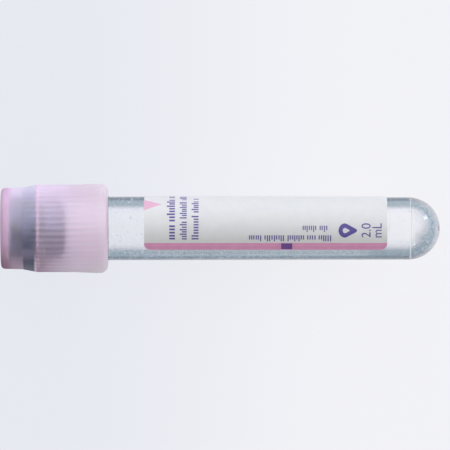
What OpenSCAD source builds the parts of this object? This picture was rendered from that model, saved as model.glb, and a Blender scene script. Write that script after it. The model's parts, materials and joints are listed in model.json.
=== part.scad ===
// Blood collection tube, 13 x 75 mm size, 2 ml draw.
// A clear round-bottomed tube is closed by a rubber stopper inside a thin ribbed safety shield,
// and a printed label is wrapped round the tube. It lies on its side, resting on the shield's lip
// and on the round bottom. All pieces are bodies of revolution about one axis.

/* [Tube] */
// Outer diameter of the tube at its mouth
tube_d = 12; // [11:0.1:16]
// Length of the tube, rim to round bottom
tube_length = 75; // [60:1:120]
// Wall thickness of the tube
tube_wall = 1; // [0.7:0.05:1.3]
// Loss of outer radius from the mouth to the round bottom, the moulding draft
tube_draft = 0.15; // [0:0.01:0.3]
// Rounding of the rim's two edges
rim_fillet = 0.25; // [0.1:0.05:0.3]

/* [Stopper] */
// Height of the head that fills the shield's crown
head_height = 2.6; // [2:0.1:4]
// Height of the flange, the widest part
flange_height = 2.35; // [1.5:0.05:3.5]
// Height of the seat, between the flange and the tube's rim
seat_height = 0.5; // [0.3:0.1:1]
// How far the flange stands out past the tube's outer wall
flange_overhang = 1; // [0.8:0.1:1.5]
// How far the head's side is set in from the flange's
head_inset = 0.5; // [0.3:0.1:0.8]
// Length of the plug inside the tube
plug_length = 5; // [4:0.1:8]
// Diameter of the needle well in the head
well_d = 6.4; // [4:0.1:7]
// Depth of the needle well
well_depth = 3; // [2:0.1:3.6]
// Diameter of the hollow under the plug
hollow_d = 5.2; // [3:0.1:6]
// Depth of the hollow under the plug
hollow_depth = 3.4; // [2.8:0.1:4]
// Rounding of the plug's end
plug_fillet = 0.8; // [0.3:0.1:1]
// Rounding of the head's top edge
head_fillet = 0.4; // [0.2:0.1:0.6]

/* [Shield] */
// Length of the shield, crown face to lip
shield_length = 20; // [16:0.5:26]
// Thickness of the crown's end wall
crown_top = 1.5; // [1:0.1:2]
// Thickness of the crown's side wall
crown_wall = 0.8; // [0.6:0.05:1.2]
// Diameter of the hole that the needle goes in through
port_d = 8.8; // [7:0.1:9.5]
// Rounding of the hole's outer edge
port_fillet = 0.3; // [0.1:0.05:0.4]
// Length of the crown, up to the cone shoulder
crown_length = 3.9; // [3:0.1:4.2]
// Widening of the crown's radius towards the shoulder
crown_draft = 0.07; // [0:0.01:0.12]
// Rounding of the crown's edge
crown_fillet = 0.7; // [0.3:0.05:0.75]
// Length of the cone shoulder
shoulder_length = 2.9; // [2:0.1:4]
// Thickness of the skirt's wall between the ribs
skirt_wall = 0.8; // [0.7:0.05:1.2]
// Number of grip ribs round the skirt
rib_count = 45; // [30:1:60]
// Width of a rib
rib_width = 0.5; // [0.3:0.05:0.6]
// Height of a rib above the skirt
rib_height = 0.13; // [0.1:0.01:0.2]
// Length of the smooth lip band
lip_length = 2.8; // [2.5:0.1:4]
// How far the lip band stands out past the ribs
lip_step = 0.16; // [0.05:0.01:0.3]
// Rounding of the lip's outer edge
lip_fillet = 1.5; // [1:0.1:1.6]
// Rounding of the lip's inner edge
lip_inner_fillet = 0.2; // [0.1:0.05:0.2]
// How far the retaining ring reaches up towards the tube's mouth, its height
ring_height = 0.7; // [0.5:0.05:1]

/* [Label] */
// Thickness of the label
label_thickness = 0.1; // [0.06:0.01:0.2]
// Bare length of tube between the shield's lip and the label
label_lip_gap = 6.75; // [3:0.25:12]
// Bare length of tube between the label and the start of the round bottom
label_dome_gap = 4.1; // [3:0.1:12]
// Angle of the bare window that the label leaves open
window_angle = 90; // [40:5:150]
// Angle from the upper side of the lying tube round to the label's near edge
label_edge_angle = 41.4; // [20:0.1:80]
// Corner radius of the label
label_corner = 0.9; // [0.5:0.1:1.5]

/* [Fits] */
// Radial gap between the plug and the tube's bore, at the tight end
plug_clearance = 0.03; // [0.01:0.01:0.06]
// Gap between the stopper and the shield that turns on it, on every face
shield_clearance = 0.05; // [0.02:0.01:0.08]
// Radial gap between the stopper's head and the crown's inside
crown_gap = 0.25; // [0.1:0.05:0.4]
// Radial gap between the tube and the shield's retaining ring
ring_gap = 0.2; // [0.1:0.05:0.4]
// Radial gap between the tube and the lip's inside
lip_gap = 0.6; // [0.3:0.05:0.8]
// Radial gap between the tube and the skirt's inside
skirt_gap = 1.25; // [1.15:0.05:1.6]

/* [Hidden] */
$fn = 96;

clear_pet = [0.84, 0.88, 0.92, 0.45];
label_white = [0.95, 0.95, 0.97];
stopper_grey = [0.33, 0.35, 0.45];
shield_pink = [0.88, 0.79, 0.88, 0.8];

// Stations along the axis, measured from the crown's end face towards the round bottom
head_s = crown_top + shield_clearance;
flange_s = head_s + head_height;
seat_s = flange_s + flange_height;
rim_s = seat_s + seat_height;
plug_end_s = rim_s + plug_length;
shoulder_end_s = crown_length + shoulder_length;
ring_s = seat_s + shield_clearance;
ring_end_s = ring_s + ring_height;
lip_s = shield_length - lip_length;
bottom_s = rim_s + tube_length;

// Radii of the tube and the stopper
tube_r = tube_d / 2;
dome_r = tube_r - tube_draft;
dome_s = bottom_s - dome_r;
draft_slope = tube_draft / (dome_s - rim_s);
flange_r = tube_r + flange_overhang;
head_r = flange_r - head_inset;
plug_r = tube_outside(plug_end_s) - tube_wall - plug_clearance;

// Radii of the shield
port_r = port_d / 2;
crown_bore_r = head_r + crown_gap;
crown_r = crown_bore_r + crown_wall;
crown_base_r = crown_r + crown_draft;
pocket_r = flange_r + shield_clearance;
ring_bore_r = tube_r + ring_gap;
skirt_bore_r = tube_r + skirt_gap;
skirt_r = skirt_bore_r + skirt_wall;
rib_r = skirt_r + rib_height;
lip_r = rib_r + lip_step;
lip_bore_r = tube_r + lip_gap;

// A rib's root, sunk into the wall so that rib and wall are one solid
rib_root = 0.2;
// Spare length of a cutting shape past the face it cuts
cut_over = 1;

// Radius of the tube's outer wall at a station
function tube_outside(s) = tube_r - (s - rim_s) * draft_slope;

// The closed tube touches the ground at two circles: the lip's rounding and the round bottom.
// Their common tangent gives the angle at which the axis falls towards the bottom.
touch_r = lip_r - lip_fillet;
touch_s = shield_length - lip_fillet;
touch_span = dome_s - touch_s;
rest_tilt = atan2(touch_r, touch_span)
    - asin((dome_r - lip_fillet) / norm([touch_span, touch_r]));

// Place of the crown's centre when the lying tube's box is centred over the origin
end_x = dome_s * cos(rest_tilt) + dome_r;
start_x = crown_fillet * cos(rest_tilt) - (crown_r - crown_fillet) * sin(rest_tilt) - crown_fillet;
place_x = -(end_x + start_x) / 2;
place_z = dome_s * sin(rest_tilt) + dome_r;

// Lays a piece that was turned about Z down on its side, crown towards -X, round bottom towards +X
module lay_down() {
    translate([place_x, 0, place_z]) rotate([0, 90 + rest_tilt, 0]) children();
}

// What a fillet takes off a section's corner at (r, s). The corner's material lies
// towards side_r and side_s, each 1 or -1.
module corner_waste(r, s, fillet, side_r, side_s) {
    translate([r, s]) scale([side_r, side_s]) difference() {
        translate([-cut_over, -cut_over]) square(fillet + cut_over);
        translate([fillet, fillet]) circle(fillet);
    }
}

module tube_section() {
    intersection() {
        translate([0, rim_s]) square([tube_d, tube_length]);
        difference() {
            union() {
                polygon([[0, rim_s], [tube_r, rim_s], [dome_r, dome_s], [0, dome_s]]);
                translate([0, dome_s]) circle(dome_r);
            }
            polygon([
                [0, rim_s - cut_over],
                [tube_r - tube_wall, rim_s - cut_over],
                [tube_r - tube_wall, rim_s],
                [dome_r - tube_wall, dome_s],
                [0, dome_s]
            ]);
            translate([0, dome_s]) circle(dome_r - tube_wall);
            corner_waste(tube_r, rim_s, rim_fillet, -1, 1);
            corner_waste(tube_r - tube_wall, rim_s, rim_fillet, 1, 1);
        }
    }
}

module tube() {
    color(clear_pet) lay_down() rotate_extrude() tube_section();
}

// Cuts one corner of the label round. The label's material lies towards side_t, round the
// tube, and side_s, along it.
module label_corner_cut(angle, s, side_t, side_s) {
    rotate([0, 0, angle]) translate([0, 0, s]) rotate([90, 0, 90])
        linear_extrude(tube_d) scale([side_t, side_s]) difference() {
            translate([-cut_over, -cut_over]) square(label_corner + cut_over);
            translate([label_corner, label_corner]) circle(label_corner);
        }
}

module label() {
    start_s = shield_length + label_lip_gap;
    end_s = dome_s - label_dome_gap;
    start_angle = 180 + label_edge_angle + window_angle;
    span = 360 - window_angle;
    color(label_white) lay_down() difference() {
        rotate([0, 0, start_angle]) rotate_extrude(angle = span) polygon([
            [tube_outside(start_s), start_s],
            [tube_outside(start_s) + label_thickness, start_s],
            [tube_outside(end_s) + label_thickness, end_s],
            [tube_outside(end_s), end_s]
        ]);
        label_corner_cut(start_angle, start_s, 1, 1);
        label_corner_cut(start_angle, end_s, 1, -1);
        label_corner_cut(start_angle + span, start_s, -1, 1);
        label_corner_cut(start_angle + span, end_s, -1, -1);
    }
}

module stopper_section() {
    hollow_r = hollow_d / 2;
    hollow_top_s = plug_end_s - hollow_depth + hollow_r;
    intersection() {
        translate([0, head_s]) square([flange_r, plug_end_s - head_s]);
        difference() {
            union() {
                translate([0, head_s]) square([head_r, head_height]);
                translate([0, flange_s]) square([flange_r, flange_height]);
                translate([0, seat_s]) square([tube_r, seat_height]);
                translate([0, rim_s]) square([plug_r, plug_length]);
            }
            translate([0, head_s - cut_over]) square([well_d / 2, well_depth + cut_over]);
            translate([0, hollow_top_s]) square([hollow_r, hollow_depth + cut_over]);
            translate([0, hollow_top_s]) circle(hollow_r);
            corner_waste(head_r, head_s, head_fillet, -1, 1);
            corner_waste(plug_r, plug_end_s, plug_fillet, -1, -1);
        }
    }
}

module stopper() {
    color(stopper_grey) lay_down() rotate_extrude() stopper_section();
}

// The shield's wall without its ribs
module shield_section() {
    difference() {
        polygon([
            [0, 0],
            [crown_r, 0],
            [crown_r, crown_fillet],
            [crown_base_r, crown_length],
            [skirt_r, shoulder_end_s],
            [skirt_r, lip_s],
            [lip_r, lip_s + lip_step],
            [lip_r, shield_length],
            [0, shield_length]
        ]);
        polygon([
            [0, -cut_over],
            [port_r, -cut_over],
            [port_r, crown_top],
            [crown_bore_r, crown_top],
            [crown_bore_r, flange_s - shield_clearance],
            [pocket_r, flange_s - shield_clearance],
            [pocket_r, ring_s],
            [ring_bore_r, ring_s],
            [ring_bore_r, ring_end_s],
            [skirt_bore_r, ring_end_s + skirt_gap - ring_gap],
            [skirt_bore_r, lip_s],
            [lip_bore_r, lip_s + skirt_gap - lip_gap],
            [lip_bore_r, shield_length + cut_over],
            [0, shield_length + cut_over]
        ]);
        corner_waste(port_r, 0, port_fillet, 1, 1);
        corner_waste(crown_r, 0, crown_fillet, -1, 1);
        corner_waste(lip_r, shield_length, lip_fillet, -1, -1);
        corner_waste(lip_bore_r, shield_length, lip_inner_fillet, 1, -1);
    }
}

// The grip ribs, which rise out of the shoulder and run along the skirt to the lip
module ribs() {
    intersection() {
        rotate_extrude() polygon([
            [crown_base_r - rib_root, crown_length],
            [crown_base_r, crown_length],
            [rib_r, shoulder_end_s],
            [rib_r, lip_s + lip_step],
            [skirt_r - rib_root, lip_s + lip_step],
            [skirt_r - rib_root, shoulder_end_s]
        ]);
        linear_extrude(shield_length)
            for (i = [0 : rib_count - 1])
                rotate(i * 360 / rib_count) translate([0, -rib_width / 2]) square([lip_r, rib_width]);
    }
}

module shield() {
    color(shield_pink) lay_down() union() {
        rotate_extrude() shield_section();
        ribs();
    }
}

tube();
label();
stopper();
shield();
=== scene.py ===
import json
import math
import random

import bmesh
import bpy
from mathutils import Matrix, Vector


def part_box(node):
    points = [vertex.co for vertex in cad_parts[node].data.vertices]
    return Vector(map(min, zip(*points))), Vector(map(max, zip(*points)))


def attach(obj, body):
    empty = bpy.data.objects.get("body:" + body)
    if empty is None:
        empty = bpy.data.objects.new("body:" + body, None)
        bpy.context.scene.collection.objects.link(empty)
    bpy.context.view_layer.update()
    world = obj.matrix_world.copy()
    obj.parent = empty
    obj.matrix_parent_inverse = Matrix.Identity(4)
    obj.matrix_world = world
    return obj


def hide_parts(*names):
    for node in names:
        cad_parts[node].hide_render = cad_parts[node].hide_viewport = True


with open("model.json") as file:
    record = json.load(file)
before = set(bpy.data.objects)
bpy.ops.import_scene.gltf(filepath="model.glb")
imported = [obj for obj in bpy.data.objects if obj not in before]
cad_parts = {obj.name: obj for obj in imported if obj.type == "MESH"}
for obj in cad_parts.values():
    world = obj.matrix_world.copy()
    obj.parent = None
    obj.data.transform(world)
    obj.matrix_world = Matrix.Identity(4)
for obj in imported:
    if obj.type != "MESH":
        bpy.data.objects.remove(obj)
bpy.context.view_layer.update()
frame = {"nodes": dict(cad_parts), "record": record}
print("frame loaded:", ", ".join(sorted(frame["nodes"])))

mm = 0.001

# The one axis that everything is turned about. Stations (s) run along it in mm from the closure's
# flat face to the round bottom, radii (r) out from it, and angles from the top towards +Y.
top = next(mount for mount in frame["record"]["mounts"] if mount["name"] == "closure_top")
along = -Vector(top["axis"]).normalized()
across = Vector((0, 1, 0))
up = along.cross(across)
crown = Vector(top["pos_m"])
crown.y = 0
axisTilt = math.asin(-along.z)


def place(s, r, angle=0.0):
    out = up * math.cos(angle) + across * math.sin(angle)
    return crown + (along * s + out * r) * mm


def halfWidth(node):
    # a node's radius in mm, from how far it reaches in Y
    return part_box(node)[1][1] / mm


# Meshes first: most pieces are a section turned about the axis.

longStretch = 0.3       # a straight stretch over this, in mm, gets a ring close to each end
ringMargin = 0.04


def rounded(corners, fillets, steps=6):
    # corners are (s, r), in order round the section; a fillet of 0 stays sharp
    points = []
    for i, fillet in enumerate(fillets):
        here = Vector(corners[i])
        if fillet == 0:
            points.append(here)
            continue
        back = (Vector(corners[i - 1]) - here).normalized()
        ahead = (Vector(corners[(i + 1) % len(corners)]) - here).normalized()
        half = back.angle(ahead) / 2
        centre = here + (back + ahead).normalized() * fillet / math.sin(half)
        start = here + back * fillet / math.tan(half) - centre
        turn = math.copysign(math.pi - 2 * half, ahead.cross(back))
        for k in range(steps + 1):
            a = turn * k / steps
            points.append(centre + Vector((
                start.x * math.cos(a) - start.y * math.sin(a),
                start.x * math.sin(a) + start.y * math.cos(a),
            )))
    return points


def arc(s, r, radius, fromAngle, toAngle, steps):
    # points round (s, r); angles in degrees, 0 along the axis and 90 outwards
    angles = [math.radians(fromAngle + (toAngle - fromAngle) * k / steps) for k in range(steps + 1)]
    return [Vector((s + radius * math.cos(a), r + radius * math.sin(a))) for a in angles]


def shown(name, data):
    piece = bpy.data.objects.new(name, data)
    bpy.context.scene.collection.objects.link(piece)
    return piece


def finishMesh(name, mesh, material, sharpAngle=35):
    bmesh.ops.recalc_face_normals(mesh, faces=mesh.faces)
    data = bpy.data.meshes.new(name)
    mesh.to_mesh(data)
    mesh.free()
    data.shade_smooth()
    data.set_sharp_from_angle(angle=math.radians(sharpAngle))
    data.materials.append(material)
    return shown(name, data)


def held(outline, closed):
    # adds the rings that keep smooth shading true on long straight stretches
    points = []
    ends = outline[1:] + ([outline[0]] if closed else [])
    for here, following in zip(outline, ends):
        points.append(here)
        gap = following - here
        if gap.length > longStretch:
            inset = gap.normalized() * ringMargin
            points += [here + inset, following - inset]
    return points if closed else points + [outline[-1]]


def turned(name, outline, segments, material, closed=False, swell=None):
    # turns a section about the axis; swell(s, r, angle) gives mm to add to an outer radius
    mesh = bmesh.new()
    rings = []
    for s, r in held([Vector(point) for point in outline], closed):
        if r < 1e-6:        # on the axis, so the ring is one point
            rings.append([mesh.verts.new(place(s, 0))] * segments)
            continue
        ring = []
        for k in range(segments):
            angle = math.tau * k / segments
            extra = swell(s, r, angle) if swell else 0
            ring.append(mesh.verts.new(place(s, r + extra, angle)))
        rings.append(ring)
    neighbours = list(zip(rings, rings[1:]))
    if closed:
        neighbours.append((rings[-1], rings[0]))
    for ring, following in neighbours:
        for k in range(segments):
            n = (k + 1) % segments
            corners = list(dict.fromkeys((ring[k], ring[n], following[n], following[k])))
            if len(corners) > 2:
                mesh.faces.new(corners)
    return finishMesh(name, mesh, material)


# Then what the materials share: addNode adds each node, and the rest put nodes together.

def linear(hexCode):
    # an sRGB colour in the linear values that the nodes take
    channels = [int(hexCode[i:i + 2], 16) / 255 for i in (1, 3, 5)]
    return [*(c / 12.92 if c <= 0.04045 else ((c + 0.055) / 1.055) ** 2.4 for c in channels), 1]


def addNode(tree, kind, inputs=(), stops=(), **settings):
    # an input takes a value, an output to link, or a node, of which the first output in use is
    # linked; stops are a ramp's, as (position from 0 to 1, colour)
    node = tree.nodes.new("ShaderNode" + kind)
    for name, value in settings.items():
        setattr(node, name, value)
    for socket, value in dict(inputs).items():
        if isinstance(value, bpy.types.Node):
            value = next(output for output in value.outputs if output.enabled)
        if isinstance(value, bpy.types.NodeSocket):
            tree.links.new(value, node.inputs[socket])
        else:
            node.inputs[socket].default_value = value
    if stops:
        elements = node.color_ramp.elements
        while len(elements) < len(stops):
            elements.new(0.5)
        for element, (position, colour) in zip(elements, stops):
            element.position = position
            element.color = colour
    return node


def newMaterial(name):
    material = bpy.data.materials.new(name)
    material.use_nodes = True
    material.node_tree.nodes.clear()
    return material, material.node_tree


def ownAxes(tree):
    # where a point lies in metres, with X along the tube, Y across it and Z up
    inFrame = addNode(tree, "TexCoord").outputs["Object"]
    return addNode(tree, "Mapping", {"Vector": inFrame, "Rotation": (0, -axisTilt, 0)})


def softNoise(tree, where, sizeMm, stretch=1.0, detail=2.0):
    # soft noise of the given size in mm, drawn out along the tube by stretch
    scaled = addNode(tree, "Mapping", {"Vector": where, "Scale": (1 / stretch, 1, 1)})
    return addNode(
        tree, "TexNoise", {"Vector": scaled, "Scale": 1 / (sizeMm * mm), "Detail": detail})


def clouded(tree, noise, low, high, noiseLow=0.3, noiseHigh=0.7):
    # spreads noise, which hardly leaves 0.3 to 0.7, from low to high
    return addNode(tree, "MapRange", {
        "Value": noise, "From Min": noiseLow, "From Max": noiseHigh, "To Min": low, "To Max": high})


def fineRelief(tree, noise, heightMm):
    return addNode(tree, "Bump", {"Height": noise, "Distance": heightMm * mm, "Strength": 1.0})


def alongTube(tree, where, low, high, toLow=0.0, toHigh=1.0):
    # goes evenly from one value to another between two stations in mm
    start = crown.dot(along)
    return addNode(tree, "MapRange", {
        "Value": addNode(tree, "SeparateXYZ", {0: where}),
        "From Min": start + low * mm, "From Max": start + high * mm,
        "To Min": toLow, "To Max": toHigh,
    })


def sharesOf(tree, source, stops):
    # a ramp of plain shares
    greys = [(position, (share,) * 3 + (1,)) for position, share in stops]
    return addNode(tree, "ValToRGB", {"Fac": source}, greys)


def sharesAlong(tree, where, stops):
    # the same with stations in mm
    first = stops[0][0]
    last = stops[-1][0]
    position = alongTube(tree, where, first, last)
    return sharesOf(tree, position, [((s - first) / (last - first), share) for s, share in stops])


def sidePatch(tree, where, fromSide, toSide, stops):
    # a patch on one side: it starts and is whole at so many mm towards +Y, and its strength goes
    # by station
    sideways = addNode(tree, "SeparateXYZ", {0: where}).outputs["Y"]
    inside = addNode(
        tree, "MapRange", {"Value": sideways, "From Min": fromSide * mm, "From Max": toSide * mm})
    strength = sharesAlong(tree, where, stops)
    return addNode(tree, "Math", {0: inside, 1: strength}, operation="MULTIPLY")


def turnedAcross(tree):
    # how far the wall is turned, over all and only across the tube, from 0 square on to 1 edge on.
    # A long clear wall bends the view by the second, however steeply it is looked along.
    overAll = addNode(tree, "LayerWeight", {"Blend": 0.5}).outputs["Facing"]
    axis = addNode(tree, "CombineXYZ", {"X": along.x, "Y": along.y, "Z": along.z})
    endOn = addNode(tree, "LayerWeight", {"Blend": 0.5, "Normal": axis}).outputs["Facing"]
    toWall, toAxis = [
        addNode(tree, "Math", {0: 1.0, 1: facing}, operation="SUBTRACT", use_clamp=True)
        for facing in (overAll, endOn)
    ]
    # dividing by the sine of the angle to the axis leaves the turn across the tube
    angle = addNode(tree, "Math", {0: toAxis}, operation="ARCSINE")
    sine = addNode(tree, "Math", {0: angle}, operation="COSINE")
    sine = addNode(tree, "Math", {0: sine, 1: 0.1}, operation="MAXIMUM")
    square = addNode(tree, "Math", {0: toWall, 1: sine}, operation="DIVIDE")
    acrossOnly = addNode(tree, "Math", {0: 1.0, 1: square}, operation="SUBTRACT", use_clamp=True)
    return overAll, acrossOnly


def letLightThrough(tree, shader, tint):
    # lamps and the light off matt things shine through the clear walls, so nothing inside is dark
    path = addNode(tree, "LightPath")
    passes = addNode(
        tree, "Math", {0: path.outputs["Is Shadow Ray"], 1: path.outputs["Is Diffuse Ray"]},
        operation="MAXIMUM")
    clear = addNode(tree, "BsdfTransparent", {"Color": linear(tint)})
    mixed = addNode(tree, "MixShader", {0: passes, 1: shader, 2: clear})
    addNode(tree, "OutputMaterial", {"Surface": mixed})


# The tube: a clear wall, open at the rim, with a round bottom. Sizes here and below are in mm.
tubeSpec = {
    "rimAt": 7.0,
    "length": 75.0,
    "wall": 1.0,
    "draft": 0.15,          # loss of radius from the rim to the round bottom
    "rimFillet": 0.25,
    "seamStep": 0.035,      # the round bottom is a hair smaller, where two mould parts meet
    "seamWidth": 0.2,
    "seamTurn": 86.0,       # degrees from the middle of the bottom
    "gateRadius": 0.6,      # shallow dish in the middle of the bottom, where the plastic came in
    "gateDepth": 0.03,
    "gateFlat": 0.7,        # share of the dish that is flat
    "segments": 180,
    "outerSteps": 32,       # steps from the middle of the bottom to its edge
    "innerSteps": 28,
    "colour": "#FDFDFE",
    "ior": 1.575,
    "waves": (2.2, 3),      # of this and every noise: size in mm and how far it is drawn out
    "waveHeightMm": 0.004,
    "hazeMm": 6.0,
    "haze": (0.01, 0.05),   # roughness
    # painted shade: a real wall that turns away bends the view off to a dark room, so here tones are
    # painted on by how far it is turned, from 0 square on to 1 edge on, and the tone it takes there
    "paintedEdgeTones": [
        (0.12, "#FBFDFE"), (0.188, "#F0EDF3"), (0.226, "#D0D4DE"), (0.255, "#ADB9C3"),
        (0.29, "#82949F"), (0.35, "#738B97"), (0.47, "#6C8796"), (0.53, "#385264"),
        (0.61, "#1A3042"), (0.70, "#2C4052"), (0.86, "#5C6A78"), (0.95, "#D8E0E6"),
    ],
    # the same over the round bottom, and the stations between which they take over
    "paintedDomeTones": [
        (0.00, "#FBFDFE"), (0.05, "#DBDBE4"), (0.104, "#C4C7D2"), (0.158, "#A6B2BC"),
        (0.228, "#90A8B8"), (0.29, "#7C96A8"), (0.336, "#587890"), (0.44, "#6E8A9C"),
        (0.545, "#949FAC"), (0.75, "#A0A0A8"), (0.95, "#D4D8DE"),
    ],
    "domeBetween": (76, 81),
    # the film that dried on the bore mottles those edges, in streaks round the tube and in fine
    # grains over the round bottom: how much each shifts the tones, and how much shows as white,
    # by station
    "streak": (1, 0.33),
    "streakShift": [(20, 0.014), (66, 0.018), (72, 0.006), (82, 0.01)],
    "streakWhite": [(20, 0.26), (66, 0.18), (72, 0.04), (78, 0.1)],
    "grain": (0.36, 1),
    "grainShift": [(20, 0.01), (72, 0.005), (76, 0.01), (79, 0.045)],
    "grainWhite": [(20, 0.12), (72, 0.03), (76, 0.1), (79, 0.45)],
    "white": [(0.54, 0), (0.66, 1)],    # the level of noise that starts to show as white
    "whiteTone": "#E2EAF0",
    # painted shade: the tones are darkened on the -Y side, away from the bright sky: its share by
    # station, and its tone
    "paintedLowShade": [
        (20, 0.34), (26, 0.34), (28, 0), (66, 0), (70, 0.7), (76, 0.9),
        (79, 0.95), (80.2, 0.4), (81.2, 0),
    ],
    "paintedLowShadeTone": "#98ACB6",
    "paintedLowShadeSides": (0.3, 0.8),    # in radii to that side, where it starts and where it is whole
    "paintedLowShadeTurn": 0.85,       # and it reaches up over the round bottom by this many radii
    "rim": [(7, 0.75), (7.5, 0.75), (8, 0)],    # the lip is polished, with hardly any edge
    "seam": [(76.30, 0), (76.36, 0.6), (76.46, 0.6), (76.50, 0)],    # a clear line across them
    "seamShade": [(76.46, 0), (76.51, 0.45), (76.57, 0.45), (76.62, 0)],    # with a dark edge
    "seamShadeTone": "#7C8A98",
}

tubeRadius = halfWidth("tube")
domeRadius = tubeRadius - tubeSpec["draft"]
rimAt = tubeSpec["rimAt"]
bottomAt = rimAt + tubeSpec["length"]
domeAt = bottomAt - domeRadius


def outsideAt(s):
    # radius of the tube's outer wall, which tapers from the rim
    return tubeRadius - (s - rimAt) * tubeSpec["draft"] / (domeAt - rimAt)


def mouldedPet():
    # Injection moulded PET: water clear with a faint cool cast, and slow waves in the wall that smear
    # whatever is seen through it. Its dark edges with a bright rim are painted shade and light: tones
    # laid on by how far the wall is turned, in place of a dark room seen through the bent wall
    spec = tubeSpec
    material, tree = newMaterial("moulded PET")
    where = ownAxes(tree)
    waves = softNoise(tree, where, *spec["waves"])
    haze = softNoise(tree, where, spec["hazeMm"], detail=4)
    film = {kind: softNoise(tree, where, *spec[kind], detail=1) for kind in ("streak", "grain")}
    shifts = [
        addNode(
            tree, "Math",
            {0: clouded(tree, noise, -1, 1), 1: sharesAlong(tree, where, spec[kind + "Shift"])},
            operation="MULTIPLY")
        for kind, noise in film.items()
    ]
    shift = addNode(tree, "Math", {0: shifts[0], 1: shifts[1]}, operation="ADD")
    # painted shade and rim light: the tones follow how far the wall is turned from the eye
    overAll, acrossOnly = turnedAcross(tree)
    edge, dome = [
        addNode(
            tree, "ValToRGB", {"Fac": addNode(tree, "Math", {0: turning, 1: shift}, operation="ADD")},
            [(position, linear(tone)) for position, tone in spec[ramp]])
        for turning, ramp in ((acrossOnly, "paintedEdgeTones"), (overAll, "paintedDomeTones"))
    ]
    overDome = alongTube(tree, where, *spec["domeBetween"])
    tones = addNode(tree, "Mix", {0: overDome, 6: edge, 7: dome}, data_type="RGBA")

    # painted shade: the tones get darker towards -Y, the side away from the bright sky
    radius = tubeRadius * mm
    towardsY = addNode(tree, "SeparateXYZ", {0: where}).outputs["Y"]
    sideways = addNode(
        tree, "Math", {0: overDome, 1: -spec["paintedLowShadeTurn"] * radius, 2: towardsY},
        operation="MULTIPLY_ADD")
    start, whole = [-radii * radius for radii in spec["paintedLowShadeSides"]]
    lowSide = addNode(tree, "MapRange", {"Value": sideways, "From Min": start, "From Max": whole})
    paintedLowShade = addNode(
        tree, "Math", {0: lowSide, 1: sharesAlong(tree, where, spec["paintedLowShade"])}, operation="MULTIPLY")
    tones = addNode(
        tree, "Mix", {0: paintedLowShade, 6: tones, 7: linear(spec["paintedLowShadeTone"])},
        data_type="RGBA", blend_type="MULTIPLY")

    layers = []
    for kind, noise in film.items():
        patches = sharesOf(tree, noise, spec["white"])
        amount = sharesAlong(tree, where, spec[kind + "White"])
        share = addNode(tree, "Math", {0: patches, 1: amount}, operation="MULTIPLY")
        layers.append(("whiteTone", share))
    for tone, name in (("colour", "rim"), ("colour", "seam"), ("seamShadeTone", "seamShade")):
        layers.append((tone, sharesAlong(tree, where, spec[name])))
    for tone, share in layers:
        tones = addNode(tree, "Mix", {0: share, 6: tones, 7: linear(spec[tone])}, data_type="RGBA")

    # the painted tones show only where the wall is looked at, so that the tube stays clear to the
    # light inside
    looked = addNode(tree, "LightPath").outputs["Is Camera Ray"]
    clear = linear(spec["colour"])
    colour = addNode(tree, "Mix", {0: looked, 6: clear, 7: tones}, data_type="RGBA")
    shader = addNode(tree, "BsdfPrincipled", {
        "Base Color": colour,
        "IOR": spec["ior"],
        "Transmission Weight": 1.0,
        "Roughness": clouded(tree, haze, *spec["haze"]),
        "Normal": fineRelief(tree, waves, spec["waveHeightMm"]),
    })
    letLightThrough(tree, shader, spec["colour"])
    return material


def makeTube(material):
    spec = tubeSpec
    bore = domeRadius - spec["wall"]
    capRadius = domeRadius - spec["seamStep"]
    capAt = domeAt + spec["seamStep"]
    gateAt = bottomAt - spec["gateDepth"]
    gateTurn = math.degrees(math.asin(spec["gateRadius"] / capRadius))
    outline = [Vector((gateAt, 0)), Vector((gateAt, spec["gateRadius"] * spec["gateFlat"]))]
    outline += arc(capAt, 0, capRadius, gateTurn, spec["seamTurn"], spec["outerSteps"])
    seamAt = outline[-1].x - spec["seamWidth"]
    corners = [
        (seamAt, capRadius),
        (seamAt, math.sqrt(domeRadius ** 2 - (seamAt - domeAt) ** 2)),
        (domeAt, domeRadius),
        (rimAt, tubeRadius),
        (rimAt, tubeRadius - spec["wall"]),
        (domeAt, bore),
    ]
    outline += rounded(corners, (0, 0, 0, spec["rimFillet"], spec["rimFillet"], 0))[1:]
    outline += arc(domeAt, 0, bore, 90, 0, spec["innerSteps"])[1:-1]
    outline.append(Vector((domeAt + bore, 0)))
    return turned("tube_wall", outline, spec["segments"], material)


tube = makeTube(mouldedPet())
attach(tube, "tube")
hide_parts("tube")
print("tube made")


# The additive: flat droplets of salt that dried on the tube's inner wall.
additiveSpec = {
    "count": 1600,
    "from": 20.5,
    "toBottom": 3.0,        # how far from the bottom they stop
    "crowding": 1.5,        # over 1 brings them closer together towards the stopper
    "smallest": 0.04,       # radius of a droplet
    "largest": 0.15,
    "rarity": 3,            # the higher, the fewer large ones
    "flatness": 0.4,
    "longest": 0.5,         # how much longer than wide
    "sides": 5,
    "layers": [(-0.15, 1), (0.9, 0.55)],    # foot and top: height and width
    "leastReach": 1.5,      # none closer to the axis than this
    "colour": "#F2F6F8",
    "ior": 1.4,
    "clear": 0.6,
    "rough": (0.3, 0.5),
    "cloudMm": 0.3,
}


def driedSalt():
    # Anticoagulant sprayed on and dried: tiny glassy blisters, a little milky
    spec = additiveSpec
    material, tree = newMaterial("dried salt")
    cloud = softNoise(tree, ownAxes(tree), spec["cloudMm"], detail=3)
    shader = addNode(tree, "BsdfPrincipled", {
        "Base Color": linear(spec["colour"]),
        "IOR": spec["ior"],
        "Transmission Weight": spec["clear"],
        "Roughness": clouded(tree, cloud, *spec["rough"]),
    })
    letLightThrough(tree, shader, spec["colour"])
    return material


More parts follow.
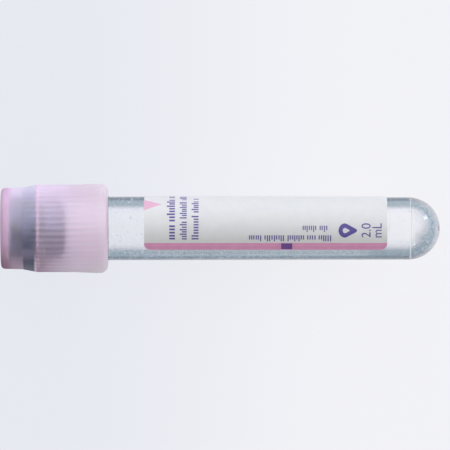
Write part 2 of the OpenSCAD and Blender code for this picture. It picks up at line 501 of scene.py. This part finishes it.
def makeAdditive(material):
    spec = additiveSpec
    rolls = random.Random(7)
    mesh = bmesh.new()
    length = bottomAt - spec["toBottom"] - spec["from"]
    for _ in range(spec["count"]):
        s = spec["from"] + length * rolls.random() ** spec["crowding"]
        angle = rolls.random() * math.tau
        size = spec["smallest"] + (
            spec["largest"] - spec["smallest"]) * rolls.random() ** spec["rarity"]
        reach = outsideAt(s) - tubeSpec["wall"]
        if s >= domeAt:
            reach = math.sqrt(max((domeRadius - tubeSpec["wall"]) ** 2 - (s - domeAt) ** 2, 0.01))
        if reach < spec["leastReach"]:
            continue
        foot = place(s, reach, angle)
        inward = (place(min(s, domeAt), 0) - foot).normalized()
        side = inward.orthogonal().normalized()
        other = inward.cross(side)
        stretch = 1 + rolls.random() * spec["longest"]
        rings = []
        for height, width in spec["layers"]:
            rings.append([
                mesh.verts.new(
                    foot
                    + inward * height * size * spec["flatness"] * mm
                    + (side * math.cos(a) * stretch + other * math.sin(a)) * size * width * mm)
                for a in (math.tau * k / spec["sides"] for k in range(spec["sides"]))
            ])
        low, high = rings
        mesh.faces.new(low)
        mesh.faces.new(high)
        for k in range(spec["sides"]):
            n = (k + 1) % spec["sides"]
            mesh.faces.new((low[k], low[n], high[n], high[k]))
    return finishMesh("dried_additive", mesh, material, 80)


additive = makeAdditive(driedSalt())
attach(additive, "tube")
print("additive made")


# The label: a paper wrap with rounded corners, which leaves a window down one side.
labelSpec = {
    "start": 26.75,
    "end": domeAt - 4.1,
    "thickness": 0.1,
    "sink": 0.015,          # glued down, so the tube's wall has no air between it and the label
    "nearEdge": -41.4,      # degrees; the label runs from here up over the top and round the back
    "span": 270.0,
    "corner": 1.3,
    "columns": 150,
    "cornerRows": 8,
    "rows": 10,
    "tones": ("#E6E6E6", "#E2E2E3"),
    "ior": 1.5,
    "rough": (0.45, 0.55),
    "cloudMm": 1.6,
    "fibres": (0.25, 2),
    "fibreHeightMm": 0.003,
    "glow": 0.35,           # thin enough to let some light through
    "glowMm": (0.3, 0.3, 0.3),
}


def coatedPaper(name, light, shade, rough, glow=0.0):
    # Coated paper, or an ink printed on it: smooth and half matt, two close tones clouded together,
    # with the paper's fibres just showing in the gloss
    spec = labelSpec
    material, tree = newMaterial(name)
    where = ownAxes(tree)
    cloud = clouded(tree, softNoise(tree, where, spec["cloudMm"], detail=4), 0, 1)
    fibres = softNoise(tree, where, *spec["fibres"], detail=3)
    colour = addNode(tree, "Mix", {0: cloud, 6: linear(light), 7: linear(shade)}, data_type="RGBA")
    shader = addNode(tree, "BsdfPrincipled", {
        "Base Color": colour,
        "IOR": spec["ior"],
        "Subsurface Weight": glow,
        "Subsurface Scale": mm,
        "Subsurface Radius": spec["glowMm"],
        "Roughness": clouded(tree, fibres, *rough),
        "Normal": fineRelief(tree, fibres, spec["fibreHeightMm"]),
    })
    addNode(tree, "OutputMaterial", {"Surface": shader})
    return material


def labelRows():
    # stations along the label, and how far its rounded corners cut in there, in mm
    spec = labelSpec
    corner = spec["corner"]
    cuts = []
    for k in range(spec["cornerRows"]):
        a = math.pi / 2 * k / spec["cornerRows"]
        cuts.append((corner * (1 - math.cos(a)), corner * (1 - math.sin(a))))
    near = [(spec["start"] + depth, inset) for depth, inset in cuts]
    far = [(spec["end"] - depth, inset) for depth, inset in reversed(cuts)]
    length = spec["end"] - spec["start"] - 2 * corner
    middle = [
        (spec["start"] + corner + length * k / spec["rows"], 0) for k in range(spec["rows"] + 1)
    ]
    return near + middle + far


def makeLabel(material):
    mesh = bmesh.new()
    columns = labelSpec["columns"]
    low = math.radians(labelSpec["nearEdge"])
    high = low + math.radians(labelSpec["span"])
    outer = []
    inner = []
    for s, inset in labelRows():
        cut = inset / outsideAt(s)
        angles = [low + cut + (high - low - 2 * cut) * k / columns for k in range(columns + 1)]
        face = outsideAt(s) + labelSpec["thickness"]
        back = outsideAt(s) - labelSpec["sink"]
        outer.append([mesh.verts.new(place(s, face, a)) for a in angles])
        inner.append([mesh.verts.new(place(s, back, a)) for a in angles])
    last = len(outer) - 1
    for i in range(last):
        for k in range(columns):
            mesh.faces.new((outer[i][k], outer[i][k + 1], outer[i + 1][k + 1], outer[i + 1][k]))
            mesh.faces.new((inner[i][k], inner[i + 1][k], inner[i + 1][k + 1], inner[i][k + 1]))
        for k in (0, columns):
            mesh.faces.new((outer[i][k], inner[i][k], inner[i + 1][k], outer[i + 1][k]))
    for i in (0, last):
        for k in range(columns):
            mesh.faces.new((outer[i][k], outer[i][k + 1], inner[i][k + 1], inner[i][k]))
    return finishMesh("label_paper", mesh, material, 50)


label = makeLabel(
    coatedPaper("coated paper", *labelSpec["tones"], labelSpec["rough"], labelSpec["glow"]))
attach(label, "tube")
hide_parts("label")
print("label made")


# The print: flat shapes, s along the tube and t round it from the top line towards +Y. Each is a
# thin layer of ink that follows the curve of the label.
printSpec = {
    "inkHeight": 0.012,
    "inkSink": 0.02,
    "strip": 0.3,           # width of the strips that a shape is cut into so that it bends
    "margin": 0.02,         # the stripe keeps this far inside the label
    "stripeWidth": 1.5,
    "arrow": [(26.78, 6.4), (26.78, 3.6), (30, 5.05)],
    "fillMark": (52.3, 54.35),
    "fillMarkLow": 0.12,    # what it leaves of the stripe below and above
    "fillMarkHigh": 0.04,
    "dropAt": (64.2, -0.4),     # middle of the round part
    "dropSize": 1.35,
    "dropLine": 0.42,
    "dropLength": 0.9,
    "dropPoint": 0.75,      # how far the point stands out, and how slender it is
    "dropSharpness": 4,
    "dropPinch": 0.25,
    "dropSteps": 32,
    # rows of strokes: station, height, side, length, stroke, gap, and whether they read upwards
    "rows": [
        (31, 1.5, -2.1, 10.6, 0.34, 0.24, True),
        (33.4, 1.3, -2.1, 10.2, 0.24, 0.2, True),
        (35.6, 1.3, -2.1, 9.2, 0.28, 0.22, True),
        (46.3, 1.15, -1.3, 15.4, 0.22, 0.19, False),
        (56.3, 1.15, 0.5, 5.4, 0.19, 0.2, False),
    ],
    "wordStrokes": (4, 9),      # fewest and most strokes in a group
    "wordGap": 2.2,         # the space after a group, in gaps
    "gapSpread": (0.8, 1.3),
    "tallShare": 0.35,
    "shortHeight": 0.7,
    # figures: piece, text, and the two stations and two sides that they fill
    "figures": [
        ("label_number", "2.0", 67.25, 68.95, -1.7, 0.95),
        ("label_unit", "mL", 69.3, 71.0, -1.7, 0.95),
    ],
    "inkRough": (0.4, 0.5),
    "inks": [
        ("pink ink", "#EEA8CE", "#E69DC6"),
        ("pale pink ink", "#EBB8D2", "#E6B0CC"),
        ("violet ink", "#5A4C98", "#6758A2"),
        ("deep violet ink", "#7C52A0", "#734A96"),
    ],
}


def inked(name, flat, material, layer=1):
    # flat is a bmesh in the plane of (s, t); layer 2 lies over layer 1
    low = min(v.co.y for v in flat.verts)
    high = max(v.co.y for v in flat.verts)
    step = printSpec["strip"]
    for k in range(math.floor(low / step), math.ceil(high / step) + 1):
        bmesh.ops.bisect_plane(
            flat, geom=flat.verts[:] + flat.edges[:] + flat.faces[:],
            plane_co=(0, k * step, 0), plane_no=(0, 1, 0))
    flat.faces.ensure_lookup_table()
    raised = bmesh.ops.extrude_face_region(flat, geom=flat.faces[:], use_keep_orig=True)["geom"]
    tops = {v for v in raised if isinstance(v, bmesh.types.BMVert)}
    for v in flat.verts:
        s, t = v.co.x, v.co.y
        face = outsideAt(s) + labelSpec["thickness"]
        height = printSpec["inkHeight"] * layer if v in tops else -printSpec["inkSink"]
        v.co = place(s, face + height, t / face)
    piece = finishMesh(name, flat, material, 50)
    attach(piece, "tube")
    return piece


def flatShapes(polygons):
    flat = bmesh.new()
    for polygon in polygons:
        flat.faces.new([flat.verts.new((s, t, 0)) for s, t in polygon])
    return flat


def rectangle(s0, s1, t0, t1):
    return [(s0, t0), (s1, t0), (s1, t1), (s0, t1)]


def stripeOutline():
    # along the label's near edge, with the label's two rounded corners
    middleFace = tubeRadius - tubeSpec["draft"] / 2 + labelSpec["thickness"]
    low = math.radians(labelSpec["nearEdge"]) * middleFace + printSpec["margin"]
    high = low + printSpec["stripeWidth"]
    start = labelSpec["start"] + printSpec["margin"]
    end = labelSpec["end"] - printSpec["margin"]
    corner = labelSpec["corner"]
    corners = [(start, high), (start, low), (end, low), (end, high)]
    return rounded(corners, (0, corner, corner, 0), 8)


def fillMark():
    start, end = printSpec["fillMark"]
    low = min(t for _, t in stripeOutline())
    high = low + printSpec["stripeWidth"] - printSpec["fillMarkHigh"]
    return rectangle(start, end, low + printSpec["fillMarkLow"], high)


def strokeRow(rolls, start, height, side, length, stroke, gap, upwards):
    # plain strokes in word-like groups, which stand in for lettering
    spec = printSpec
    strokes = []
    at = 0.0
    while at < length:
        for _ in range(rolls.randint(*spec["wordStrokes"])):
            tall = rolls.random() < spec["tallShare"]
            if at + stroke < length:
                strokes.append((at, at + stroke, height if tall else height * spec["shortHeight"]))
            at += stroke + gap * rolls.uniform(*spec["gapSpread"])
        at += gap * spec["wordGap"]
    if upwards:
        foot = start + height
        return [rectangle(foot - reach, foot, side + a, side + b) for a, b, reach in strokes]
    return [rectangle(start + a, start + b, side - reach, side) for a, b, reach in strokes]


def dropSign():
    # a plain drop in outline, its point towards the round bottom
    spec = printSpec
    at, side = spec["dropAt"]
    size = spec["dropSize"]
    steps = spec["dropSteps"]
    edges = []
    for scale in (1, 1 - spec["dropLine"] / size * 2):
        edge = []
        for k in range(steps):
            a = math.tau * k / steps
            ahead = max(math.cos(a), 0)
            edge.append((
                at + size * scale * (
                    math.cos(a) * spec["dropLength"]
                    + spec["dropPoint"] * ahead ** spec["dropSharpness"]),
                side + size * scale * math.sin(a) * (1 - spec["dropPinch"] * ahead),
            ))
        edges.append(edge)
    outer, inner = edges
    return flatShapes([
        [outer[k], outer[(k + 1) % steps], inner[(k + 1) % steps], inner[k]] for k in range(steps)
    ])


def lettering(text, s0, s1, t0, t1):
    # plain figures that read up the tube, tops towards the closure, fitted to a box
    curve = bpy.data.curves.new("figures", "FONT")
    curve.body = text
    holder = shown("figures", curve)
    bpy.context.view_layer.update()
    data = bpy.data.meshes.new_from_object(holder)
    bpy.data.objects.remove(holder)
    xs = [v.co.x for v in data.vertices]
    ys = [v.co.y for v in data.vertices]
    flat = bmesh.new()
    flat.from_mesh(data)
    bpy.data.meshes.remove(data)
    for v in flat.verts:
        x = (v.co.x - min(xs)) / (max(xs) - min(xs))
        y = (v.co.y - min(ys)) / (max(ys) - min(ys))
        v.co = (s1 - (s1 - s0) * y, t0 + (t1 - t0) * x, 0)
    bmesh.ops.remove_doubles(flat, verts=flat.verts, dist=1e-5)
    return flat


pinkInk, paleInk, violetInk, deepInk = [
    coatedPaper(*ink, printSpec["inkRough"]) for ink in printSpec["inks"]
]

inked("label_stripe", flatShapes([stripeOutline()]), pinkInk)
inked("label_arrow", flatShapes([printSpec["arrow"]]), paleInk)
inked("fill_mark", flatShapes([fillMark()]), deepInk, 2)
strokeRolls = random.Random(3)
strokes = []
for row in printSpec["rows"]:
    strokes += strokeRow(strokeRolls, *row)
inked("label_rows", flatShapes(strokes), violetInk)
inked("label_drop", dropSign(), violetInk)
for name, text, *corners in printSpec["figures"]:
    inked(name, lettering(text, *corners), violetInk)
print("print made")


# The stopper: head, flange on the rim, plug in the bore, needle well on top and hollow below.
stopperSpec = {
    "headAt": 1.55,
    "headHeight": 2.6,
    "headInset": 0.5,
    "flangeHeight": 2.35,
    "plugLength": 5.0,
    "plugSqueeze": 0.01,    # pressed into the wall, so no air shows between them
    "wellRadius": 3.2,
    "wellDepth": 3.0,
    "hollowRadius": 2.6,
    "hollowDepth": 3.4,
    "hollowSteps": 14,
    # round the section from the well's bottom, by the flange and the plug's end, to the hollow
    "fillets": (0, 0.35, 0.25, 0.4, 0.15, 0.2, 0.2, 0, 0, 0.12, 0.8, 0.2, 0),
    "segments": 144,
    "dark": "#242F56",
    "talc": "#4A5A8C",
    "ior": 1.52,
    "shine": 0.2,
    "rough": (0.55, 0.75),
    "bloomMm": 2.5,
    "grainMm": 0.35,
    "grainHeightMm": 0.01,
}


def butylRubber():
    # Pressed butyl rubber: a dull slate blue with a thin uneven bloom of dusting powder
    spec = stopperSpec
    material, tree = newMaterial("butyl rubber")
    where = ownAxes(tree)
    bloom = clouded(tree, softNoise(tree, where, spec["bloomMm"], detail=5), 0, 1, 0.4, 0.7)
    grain = softNoise(tree, where, spec["grainMm"], detail=3)
    colour = addNode(
        tree, "Mix", {0: bloom, 6: linear(spec["dark"]), 7: linear(spec["talc"])}, data_type="RGBA")
    shader = addNode(tree, "BsdfPrincipled", {
        "Base Color": colour,
        "IOR": spec["ior"],
        "Specular IOR Level": spec["shine"],
        "Roughness": clouded(tree, bloom, *spec["rough"], 0, 1),
        "Normal": fineRelief(tree, grain, spec["grainHeightMm"]),
    })
    addNode(tree, "OutputMaterial", {"Surface": shader})
    return material


def makeStopper(material):
    spec = stopperSpec
    headAt = spec["headAt"]
    flangeRadius = halfWidth("stopper")
    headRadius = flangeRadius - spec["headInset"]
    plugEnd = rimAt + spec["plugLength"]
    plugRadius = outsideAt(plugEnd) - tubeSpec["wall"] + spec["plugSqueeze"]
    flangeAt = headAt + spec["headHeight"]
    seatAt = flangeAt + spec["flangeHeight"]
    hollowTop = plugEnd - spec["hollowDepth"] + spec["hollowRadius"]
    outline = rounded([
        (headAt + spec["wellDepth"], 0),
        (headAt + spec["wellDepth"], spec["wellRadius"]),
        (headAt, spec["wellRadius"]),
        (headAt, headRadius),
        (flangeAt, headRadius),
        (flangeAt, flangeRadius),
        (seatAt, flangeRadius),
        (seatAt, tubeRadius),
        (rimAt, tubeRadius),
        (rimAt, plugRadius),
        (plugEnd, plugRadius),
        (plugEnd, spec["hollowRadius"]),
        (hollowTop, spec["hollowRadius"]),
    ], spec["fillets"])
    outline += arc(hollowTop, 0, spec["hollowRadius"], 90, 180, spec["hollowSteps"])[1:-1]
    outline.append(Vector((hollowTop - spec["hollowRadius"], 0)))
    return turned("stopper_rubber", outline, spec["segments"], material)


stopper = makeStopper(butylRubber())
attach(stopper, "stopper")
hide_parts("stopper")
print("stopper made")


# The safety shield: crown with its port, shoulder, ribbed skirt, lip band, and inside it a ring
# that holds the stopper's flange.
shieldSpec = {
    "length": 20.0,
    "crownTop": 1.5,
    "crownWall": 0.8,
    "crownLength": 3.9,
    "crownDraft": 0.07,
    "portRadius": 4.4,
    "shoulderEnd": 6.8,
    "skirtWall": 0.8,
    "lipAt": 17.2,
    "lipEase": 1.1,         # the bore widens over this much before the lip band
    "lipFlare": 3.6,        # and the outside over this much
    "lipBand": 0.6,         # straight part of the bore at the open end
    "ringAt": 6.55,
    "ringHeight": 0.7,
    "headGap": 0.25,        # gaps to the stopper and to the tube, by part
    "flangeGap": 0.05,
    "ringGap": 0.2,
    "skirtGap": 1.25,
    "lipGap": 0.6,
    "ribs": 45,
    "ribCrest": 0.13,       # how far the ribs stand off the skirt
    "ribHeight": 0.03,      # half the depth of the grooves between them
    "ribsFrom": 4.6,
    "ribRise": 3.0,
    "ribsTo": 17.3,
    "ribFade": 1.0,
    "ribShare": 0.45,       # share of the pitch that a rib takes up
    "ribReach": 0.55,       # they are on the outside only: no deeper under the skirt than this
    "stepsPerRib": 10,
    # round the section from the port, along the outside to the lip, and back along the inside
    "fillets": (
        0.3, 0.75, 0.6, 1.2, 8.0, 4.0, 1.5, 0.2, 0.5, 2.0, 0.3, 0.1, 0.1, 0, 0, 0, 0, 0.1),
    "colour": "#FFF7FD",
    "shadowTint": "#FFFAFE",
    "ior": 1.34,            # polyethylene's is 1.51; less keeps what lies close behind it in place
    "sheen": 0.30,
    "sheenRoughness": 0.5,
    "gloss": 1.0,
    "glossRoughness": 0.25,
    "glossIor": 1.72,
    "frost": (0.28, 0.33),  # roughness; under 0.275 the render gets small dark marks
    "clouds": (3.5, 1.6),
    "grainMm": 0.18,
    "grainHeightMm": 0.0015,
    # the milk in the plastic: station, its share of the light where the wall is seen square on and
    # where it is turned away and the light goes a longer way through it, and its colour. It is most
    # where the plastic is thick, at the end wall, the ring under the flange and the lip.
    "milk": [
        (0, 0.85, 0.90, "#D6AED0"), (1.2, 0.80, 0.90, "#DCB8D8"), (2.3, 0.15, 0.75, "#EEDCF8"),
        (3.9, 0.11, 0.72, "#EADEF8"), (4.6, 0.08, 0.42, "#E6DCFC"), (6.55, 0.08, 0.42, "#E6DCFC"),
        (6.80, 0.56, 0.80, "#FAD6F2"), (7.10, 0.56, 0.80, "#FAD6F2"), (7.35, 0.32, 0.84, "#F2DCF8"),
        (11.5, 0.33, 0.56, "#F4DAF7"), (16.5, 0.34, 0.43, "#F9DBF3"), (18.5, 0.41, 0.43, "#F9E0F3"),
        (20, 0.45, 0.44, "#F9E2F3"),
    ],
    # how much it counts as turned away, by how far it is turned
    "milkTurned": [(0, 0), (0.13, 0.03), (0.25, 0.14), (0.40, 0.64), (0.60, 0.85), (1, 1)],
    "milkRibs": 0.075,      # the ribs are thicker and so a little milkier than the grooves
    # painted shade and light by side: towards -Y, away from the bright sky, the milk is taken out over
    # the flange so it shows dark, a dark tone is laid on there, and the milk's colour is darkened;
    # towards +Y, the lit side, the milk is thickened so it looks lighter.
    # Each patch: how far towards +Y it starts and is whole, and its strength by station.
    "paintedShadeNoMilk": (-1.2, -3.2, [(4.2, 0), (4.4, 1), (5.95, 1), (6.15, 0)]),
    "paintedShadeDark": (-3.6, -6.2, [(4.05, 0), (4.3, 1), (6.15, 1), (6.4, 0)]),
    "paintedShadeDarkShare": 0.8,
    "paintedShadeDarkTone": "#555978",
    "paintedShadeMilk": (-2.8, -6.4, [(0, 1), (6, 1), (12, 0.3), (14, 0)]),
    "paintedShadeMilkTone": "#BE9EAE",
    # painted light: the milk thickened towards +Y, the lit side, so it looks lighter there
    "paintedLitSide": (1.3, 5.0, [(1.2, 0), (1.8, 0.24), (12, 0.24), (13, 0)]),
}


def milkiness(tree, where):
    # the milk's share of the light, and its colour
    spec = shieldSpec
    milk = spec["milk"]
    last = milk[-1][0]
    position = alongTube(tree, where, 0, last)
    square = sharesOf(tree, position, [(s / last, share) for s, share, _, _ in milk])
    aslant = sharesOf(tree, position, [(s / last, share) for s, _, share, _ in milk])
    facing = addNode(tree, "LayerWeight", {"Blend": 0.5}).outputs["Facing"]
    turnedAway = sharesOf(tree, facing, spec["milkTurned"])
    # painted shade towards -Y and painted light towards +Y, as patches on the milk's share
    paintedShadeNoMilk, paintedShadeDark, paintedShadeMilk, paintedLitSide = [
        sidePatch(tree, where, *spec[name]) for name in ("paintedShadeNoMilk", "paintedShadeDark", "paintedShadeMilk", "paintedLitSide")
    ]
    share = addNode(tree, "Mix", {0: turnedAway, 2: square, 3: aslant})
    for amount, patch in ((0, paintedShadeNoMilk), (spec["paintedShadeDarkShare"], paintedShadeDark), (1, paintedLitSide)):
        share = addNode(tree, "Mix", {0: patch, 2: share, 3: amount})

    # a wave round the axis, with its tops on the ribs
    aside = addNode(tree, "SeparateXYZ", {0: where}).outputs
    height = addNode(tree, "Math", {0: aside["Z"], 1: crown.dot(up)}, operation="SUBTRACT")
    angle = addNode(tree, "Math", {0: aside["Y"], 1: height}, operation="ARCTAN2")
    wave = addNode(tree, "Math", {0: angle, 1: spec["ribs"]}, operation="MULTIPLY")
    wave = addNode(tree, "Math", {0: wave}, operation="COSINE")
    gain = alongTube(tree, where, spec["ribsFrom"], spec["shoulderEnd"], 0, spec["milkRibs"])
    share = addNode(
        tree, "Math", {0: wave, 1: gain, 2: share}, operation="MULTIPLY_ADD", use_clamp=True)

    # the inner face has none, or the light would meet it twice
    inner = addNode(tree, "NewGeometry").outputs["Backfacing"]
    outer = addNode(tree, "Math", {0: 1.0, 1: inner}, operation="SUBTRACT")
    share = addNode(tree, "Math", {0: share, 1: outer}, operation="MULTIPLY")

    colour = addNode(
        tree, "ValToRGB", {"Fac": position}, [(s / last, linear(tone)) for s, _, _, tone in milk])
    # painted shade: the milk's colour darkened towards -Y, and a dark tone laid on over the flange
    # there
    colour = addNode(
        tree, "Mix", {0: paintedShadeMilk, 6: colour, 7: linear(spec["paintedShadeMilkTone"])},
        data_type="RGBA", blend_type="MULTIPLY")
    colour = addNode(
        tree, "Mix", {0: paintedShadeDark, 6: colour, 7: linear(spec["paintedShadeDarkTone"])}, data_type="RGBA")
    return share, colour


def frostedPolyethylene():
    # Moulded polyethylene off a spark-eroded mould: milky and pink-tinted, so what is inside shows
    # softly through it, with a satin grain. The grain is drawn coarser than the real 0.03 mm.
    spec = shieldSpec
    material, tree = newMaterial("frosted polyethylene")
    where = ownAxes(tree)
    grain = softNoise(tree, where, spec["grainMm"], detail=3)
    frost = softNoise(tree, where, *spec["clouds"], detail=3)
    clear = addNode(tree, "BsdfPrincipled", {
        "Base Color": linear(spec["colour"]),
        "IOR": spec["ior"],
        "Transmission Weight": 1.0,
        "Sheen Weight": spec["sheen"],
        "Sheen Roughness": spec["sheenRoughness"],
        "Coat Weight": spec["gloss"],
        "Coat Roughness": spec["glossRoughness"],
        "Coat IOR": spec["glossIor"],
        "Roughness": clouded(tree, frost, *spec["frost"]),
        "Normal": fineRelief(tree, grain, spec["grainHeightMm"]),
    })
    share, colour = milkiness(tree, where)
    milk = addNode(tree, "BsdfDiffuse", {"Color": colour})
    shader = addNode(tree, "MixShader", {0: share, 1: clear, 2: milk})
    letLightThrough(tree, shader, spec["shadowTint"])
    return material


def ribSwell(s, r, angle):
    # the ribs grow out of the shoulder and end at the lip band
    spec = shieldSpec
    skirt = tubeRadius + spec["skirtGap"] + spec["skirtWall"]
    if r < skirt - spec["ribReach"] or not spec["ribsFrom"] < s < spec["ribsTo"]:
        return 0
    rise = min((s - spec["ribsFrom"]) / spec["ribRise"], 1)
    fade = min((spec["ribsTo"] - s) / spec["ribFade"], 1)
    wave = 0.5 + 0.5 * math.cos(spec["ribs"] * angle)
    edge = min(max((wave - 0.5) / spec["ribShare"] + 0.5, 0), 1)
    eased = edge * edge * (3 - 2 * edge)
    return spec["ribHeight"] * rise * fade * (2 * eased - 1)


def makeShield(material):
    spec = shieldSpec
    length = spec["length"]
    lipRadius = halfWidth("shield")
    lipBore = tubeRadius + spec["lipGap"]
    flangeRadius = halfWidth("stopper")
    crownBore = flangeRadius - stopperSpec["headInset"] + spec["headGap"]
    crownRadius = crownBore + spec["crownWall"]
    skirtBore = tubeRadius + spec["skirtGap"]
    skirtRadius = skirtBore + spec["skirtWall"] + spec["ribCrest"] - spec["ribHeight"]
    ringBore = tubeRadius + spec["ringGap"]
    ringEnd = spec["ringAt"] + spec["ringHeight"]
    pocket = flangeRadius + spec["flangeGap"]
    flangeAt = stopperSpec["headAt"] + stopperSpec["headHeight"] - spec["flangeGap"]
    outline = rounded([
        (0, spec["portRadius"]),
        (0, crownRadius),
        (spec["crownLength"], crownRadius + spec["crownDraft"]),
        (spec["shoulderEnd"], skirtRadius),
        (spec["lipAt"] - spec["lipFlare"], skirtRadius),
        (spec["lipAt"] + spec["lipEase"], lipRadius),
        (length, lipRadius),
        (length, lipBore),
        (length - spec["lipBand"], lipBore),
        (spec["lipAt"] - spec["lipEase"], skirtBore),
        (ringEnd + spec["skirtGap"] - spec["ringGap"], skirtBore),
        (ringEnd, ringBore),
        (spec["ringAt"], ringBore),
        (spec["ringAt"], pocket),
        (flangeAt, pocket),
        (flangeAt, crownBore),
        (spec["crownTop"], crownBore),
        (spec["crownTop"], spec["portRadius"]),
    ], spec["fillets"])
    segments = spec["ribs"] * spec["stepsPerRib"]
    return turned("shield_skin", outline, segments, material, closed=True, swell=ribSwell)


shield = makeShield(frostedPolyethylene())
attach(shield, "shield")
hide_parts("shield")
print("shield made")


# The table under it, in metres.
tableSpec = {
    "size": 6.0,
    "colour": "#DADBE0",
    "seenShare": 0.90,      # how much of what the eye sees is the even backdrop tone
    "seenColour": "#F7F7FB",
    "seenColourLeft": "#EBEDF5",    # it cools a little past the closure, between these
    "leftAt": -0.035,
    "rightAt": 0.03,
}


def paleTable():
    # Matt white laminate, so evenly lit that little more than a soft shadow shows on it
    spec = tableSpec
    material, tree = newMaterial("pale table")
    path = addNode(tree, "LightPath").outputs
    seen = path["Is Camera Ray"]
    for ray in ("Is Glossy Ray", "Is Transmission Ray"):
        seen = addNode(tree, "Math", {0: seen, 1: path[ray]}, operation="MAXIMUM")
    share = addNode(tree, "Math", {0: seen, 1: spec["seenShare"]}, operation="MULTIPLY")
    towardsX = addNode(tree, "SeparateXYZ", {0: addNode(tree, "TexCoord").outputs["Object"]})
    right = addNode(
        tree, "MapRange", {"Value": towardsX, "From Min": spec["leftAt"], "From Max": spec["rightAt"]},
        interpolation_type="SMOOTHSTEP")
    left, middle = [linear(spec[name]) for name in ("seenColourLeft", "seenColour")]
    colour = addNode(tree, "Mix", {0: right, 6: left, 7: middle}, data_type="RGBA")
    tone = addNode(tree, "Emission", {"Color": colour})
    matt = addNode(tree, "BsdfDiffuse", {"Color": linear(spec["colour"])})
    mixed = addNode(tree, "MixShader", {0: share, 1: matt, 2: tone})
    addNode(tree, "OutputMaterial", {"Surface": mixed})
    return material


def makeFloor(material):
    mesh = bmesh.new()
    half = tableSpec["size"] / 2
    corners = ((-1, -1), (1, -1), (1, 1), (-1, 1))
    mesh.faces.new([mesh.verts.new((x * half, y * half, 0)) for x, y in corners])
    return finishMesh("floor", mesh, material)


floor = makeFloor(paleTable())


# The light: one broad soft sky, bright on the +Y side and fading evenly to dim on the other.
skySpec = {
    "brightSide": 80.0,     # degrees from straight up towards +Y
    "brightEnd": 18.0,      # and from there towards the round bottom
    "from": -0.285,         # cosines of the angle from there, where it is dim and where bright
    "to": 0.665,
    "dim": 0.30,
    "bright": 1.44,
    "dimColour": "#FFFDF8",
    "brightColour": "#F6F9FF",
    "seen": 0.86,           # how bright the backdrop looks behind the table
    # two brighter windows in it: which way they lie, degrees from middle to edge, and brightness
    "windows": [((0.84, 0.53, 0.06), 8.0, 6.0), ((0.34, -0.87, 0.38), 5.0, 5.0)],
}


def makeSky():
    spec = skySpec
    world = bpy.data.worlds.new("soft light")
    bpy.context.scene.world = world
    world.use_nodes = True
    tree = world.node_tree
    tree.nodes.clear()
    angle = math.radians(spec["brightSide"])
    end = math.radians(spec["brightEnd"])
    brightest = (math.sin(end), math.cos(end) * math.sin(angle), math.cos(end) * math.cos(angle))
    direction = addNode(tree, "TexCoord").outputs["Generated"]
    side = addNode(tree, "VectorMath", {0: direction, 1: brightest}, operation="DOT_PRODUCT")
    share = addNode(
        tree, "MapRange", {"Value": side, "From Min": spec["from"], "From Max": spec["to"]},
        interpolation_type="SMOOTHSTEP")
    level = addNode(
        tree, "MapRange", {"Value": share, "To Min": spec["dim"], "To Max": spec["bright"]})
    for towards, size, brightness in spec["windows"]:
        closeness = addNode(
            tree, "VectorMath", {0: direction, 1: Vector(towards).normalized()},
            operation="DOT_PRODUCT")
        edge = math.cos(math.radians(size))
        full = math.cos(math.radians(size / 2))
        window = addNode(
            tree, "MapRange",
            {"Value": closeness, "From Min": edge, "From Max": full, "To Max": brightness},
            interpolation_type="SMOOTHSTEP")
        level = addNode(tree, "Math", {0: level, 1: window}, operation="ADD")
    dim, bright = [linear(spec[name]) for name in ("dimColour", "brightColour")]
    colour = addNode(tree, "Mix", {0: share, 6: dim, 7: bright}, data_type="RGBA")
    light = addNode(tree, "Background", {"Color": colour, "Strength": level})
    backdrop = addNode(
        tree, "Background", {"Color": linear(tableSpec["seenColour"]), "Strength": spec["seen"]})
    isSeen = addNode(tree, "LightPath").outputs["Is Camera Ray"]
    mixed = addNode(tree, "MixShader", {0: isSeen, 1: light, 2: backdrop})
    addNode(tree, "OutputWorld", {"Surface": mixed})


makeSky()


# The camera looks square onto the tube from above, and rolls with its axis.
cameraSpec = {
    "viewWidth": 84.11,     # mm across the frame
    "aimAt": 41.83,         # the frame's middle, along the tube and to its side
    "aimAside": 0.635,
    "distance": 1500.0,
    "sensor": 36.0,
    "clip": (0.01, 20.0),   # metres
}


def makeCamera():
    spec = cameraSpec
    data = bpy.data.cameras.new("camera")
    data.sensor_width = spec["sensor"]
    data.lens = spec["sensor"] * spec["distance"] / spec["viewWidth"]
    data.clip_start, data.clip_end = spec["clip"]
    camera = shown("camera", data)
    camera.matrix_world = Matrix((along, across, up)).transposed().to_4x4()
    aim = place(spec["aimAt"], spec["aimAside"], math.pi / 2)
    camera.location = aim + up * spec["distance"] * mm
    bpy.context.scene.camera = camera


makeCamera()

# light may cross the many clear and frosted walls, and gather behind them
lightBounces = {"max_bounces": 24, "transmission_bounces": 20, "transparent_max_bounces": 24}

scene = bpy.context.scene
scene.view_settings.view_transform = "Standard"
for name, count in lightBounces.items():
    setattr(scene.cycles, name, count)
scene.cycles.caustics_reflective = True
scene.cycles.caustics_refractive = True
print("stage made")
